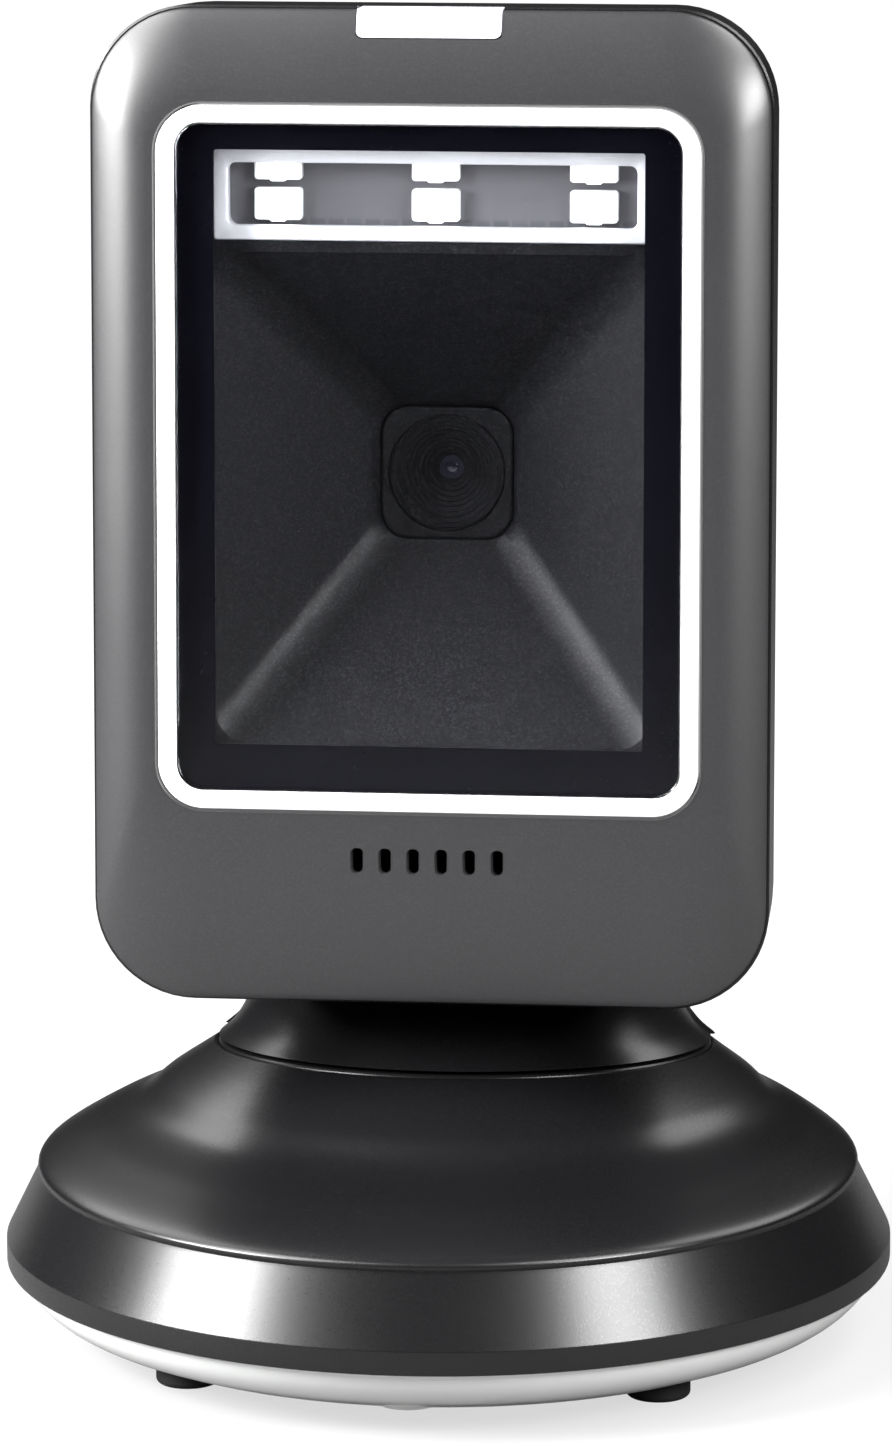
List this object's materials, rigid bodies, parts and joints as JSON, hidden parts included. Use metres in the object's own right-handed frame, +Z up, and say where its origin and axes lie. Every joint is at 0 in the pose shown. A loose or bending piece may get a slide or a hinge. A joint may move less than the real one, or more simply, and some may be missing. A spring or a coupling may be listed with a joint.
{
  "type": "hands-free desktop barcode scanner",
  "caption": "Upright hands-free 2D barcode scanner: rounded rectangular reading head with a lit window surround, tilting and swivelling on a weighted round base.",
  "frame": {"origin": "on the table, on the vertical axis of the round base", "axes": "+Z up, -Y is the way the scan window faces, +X to the right seen from the front"},
  "size_m": [0.095, 0.095, 0.1435],
  "materials": {
    "charcoal_plastic": "satin moulded, fine texture",
    "bezel_plastic": "satin paint with a fine metallic flake",
    "white_plastic": "semi-gloss moulded",
    "black_plastic": "matt moulded",
    "black_rubber": "matt",
    "black_foam": "foam",
    "ring_plastic": "glossy light guide",
    "status_plastic": "frosted light guide",
    "window_glass": "clear, coated",
    "mask_ink": "printed black border",
    "silver_plastic": "satin silver paint",
    "lamp_board": "dark solder mask",
    "lamp_lens": "clear lamp lens",
    "lens_glass": "coated lens",
    "board_green": "solder mask",
    "chip_black": "moulded package",
    "flex_amber": "polyimide film",
    "contact_gold": "gold plated",
    "screw_steel": "zinc plated",
    "spring_steel": "plain",
    "ballast_steel": "zinc-plated steel plate"
  },
  "bodies": {
    "base": {"base_cover": "charcoal_plastic", "base_tray": "white_plastic", "rubber_feet": "black_rubber", "ballast_plate": "ballast_steel", "base_screws": "screw_steel", "cable_jack": "black_plastic", "jack_contacts": "contact_gold", "jack_board": "board_green"},
    "neck": {"neck_front_cover": "charcoal_plastic", "neck_rear_cover": "charcoal_plastic", "neck_spine": "black_plastic", "neck_screws": "screw_steel", "neck_harness": "black_rubber", "swivel_washer": "spring_steel", "swivel_retainer": "spring_steel", "retainer_screws": "screw_steel", "hinge_shaft": "spring_steel", "hinge_washers": "spring_steel"},
    "head": {"front_bezel": "bezel_plastic", "rear_housing": "charcoal_plastic", "head_screws": "screw_steel", "light_ring": "ring_plastic", "ring_light_board": "board_green", "scan_window": "window_glass", "window_mask": "mask_ink", "window_gasket": "black_foam", "lamp_frame": "silver_plastic", "lamp_board": "lamp_board", "lamps": "lamp_lens", "light_well": "black_plastic", "lens_block": "black_plastic", "lens": "lens_glass", "image_sensor": "chip_black", "sensor_board": "board_green", "sensor_screws": "screw_steel", "sensor_flex": "flex_amber", "main_board": "board_green", "main_board_chips": "chip_black", "board_screws": "screw_steel", "buzzer": "chip_black", "status_light": "status_plastic", "status_board": "board_green", "status_leds": "lamp_lens"}
  },
  "joints": [
    {"name": "neck_swivel", "type": "hinge", "parent": "base", "child": "neck", "pos_m": [0, 0.0169, 0.0274], "axis": [0, 0.0958, 0.9954], "range_deg": [-45, 45]},
    {"name": "head_tilt", "type": "hinge", "parent": "neck", "child": "head", "pos_m": [0, 0.0155, 0.052], "axis": [-1, 0, 0], "range_deg": [-8, 25]}
  ]
}
